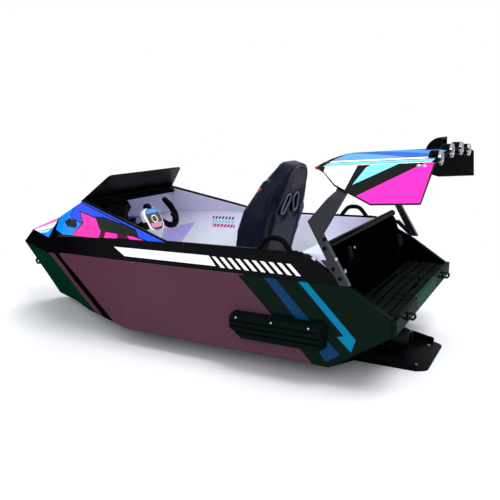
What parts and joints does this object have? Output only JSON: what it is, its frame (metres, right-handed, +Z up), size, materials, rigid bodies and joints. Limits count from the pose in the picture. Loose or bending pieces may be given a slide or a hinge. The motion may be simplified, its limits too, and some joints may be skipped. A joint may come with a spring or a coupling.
{
  "type": "water kart",
  "caption": "One-seat water kart: flat-sided jet hull with open cockpit, bucket seat, yoke steering, rear wing on struts, side sponsons, jet pump with steering nozzle",
  "frame": {"origin": "centre of the overall box, on the floor under the keel pad", "axes": "X forward to the bow, Y to port, Z up"},
  "size_m": [3.0785, 1.2824, 1.0969],
  "materials": {
    "hull_paint": "gloss painted shell, very dark green with a dark maroon side field and blue stripes",
    "band_black": "semi-gloss black with white dashes",
    "well_black": "satin dark grey moulding",
    "cockpit_lilac": "satin pale lilac moulding",
    "cowl_print": "gloss blue with pink and light blue fields",
    "screen_black": "smoked black sheet, polished",
    "engine_iron": "plain satin",
    "seat_leather": "navy black grained synthetic leather",
    "frame_black": "black powder coat",
    "moulded_black": "fine-textured black moulding",
    "hub_white": "white rim with a dark display",
    "wing_print": "gloss magenta, white and cyan fields with black edges",
    "lamp_chrome": "polished bezels with clear lenses",
    "steel": "brushed",
    "jet_alloy": "cast, black anodised",
    "impeller_steel": "machined"
  },
  "bodies": {
    "hull": {"hull_bottom": "hull_paint", "bow_block": "hull_paint", "side_panel_port": "hull_paint", "side_panel_starboard": "hull_paint", "transom": "hull_paint", "counter_panel": "hull_paint", "band_port": "band_black", "band_starboard": "band_black", "coaming_roll": "band_black", "dash_beam": "band_black", "well_floor": "well_black", "aft_bulkhead": "well_black", "cockpit_floor": "cockpit_lilac", "liner_port": "cockpit_lilac", "liner_starboard": "cockpit_lilac", "engine_deck": "cockpit_lilac", "engine_riser": "cockpit_lilac", "cowl_port": "cowl_print", "cowl_starboard": "cowl_print", "cowl_top": "cowl_print", "nose_deck": "cowl_print", "windscreen": "screen_black", "engine_block": "engine_iron", "seat_cushion": "seat_leather", "seat_back": "seat_leather", "seat_base_bolsters": "seat_leather", "seat_back_bolsters": "seat_leather", "seat_rails": "frame_black", "steering_column": "frame_black", "struts": "frame_black", "ride_plate": "frame_black", "steering_console": "moulded_black", "pedals": "moulded_black", "grab_handles": "moulded_black", "scoop": "moulded_black", "sponsons": "moulded_black", "wing_top": "wing_print", "wing_side_port": "wing_print", "wing_side_starboard": "wing_print", "lamps": "lamp_chrome", "tow_eyes": "steel", "intake_grate": "steel", "pump_housing": "jet_alloy"},
    "steering": {"hub": "hub_white", "yoke": "moulded_black"},
    "jet_nozzle": {"nozzle": "jet_alloy"},
    "jet_impeller": {"impeller": "impeller_steel"},
    "hatch": {"hatch_lid": "well_black"}
  },
  "joints": [
    {"name": "steering_turn", "type": "hinge", "parent": "hull", "child": "steering", "pos_m": [0.296, 0, 0.618], "axis": [-0.9063, 0, 0.4226], "range_deg": [-35, 35]},
    {"name": "nozzle_swing", "type": "hinge", "parent": "hull", "child": "jet_nozzle", "pos_m": [-1.284, 0, 0.08], "axis": [0, 0, 1], "range_deg": [-20, 20]},
    {"name": "impeller_spin", "type": "hinge", "parent": "hull", "child": "jet_impeller", "pos_m": [-1.194, 0, 0.08], "axis": [1, 0, 0], "continuous": true},
    {"name": "hatch_lift", "type": "hinge", "parent": "hull", "child": "hatch", "pos_m": [-1.213, 0, 0.3613], "axis": [0, 1, 0], "range_deg": [0, 75]}
  ],
  "couplings": [
    {"joint": "nozzle_swing", "follows": "steering_turn", "ratio": -0.57143}
  ]
}
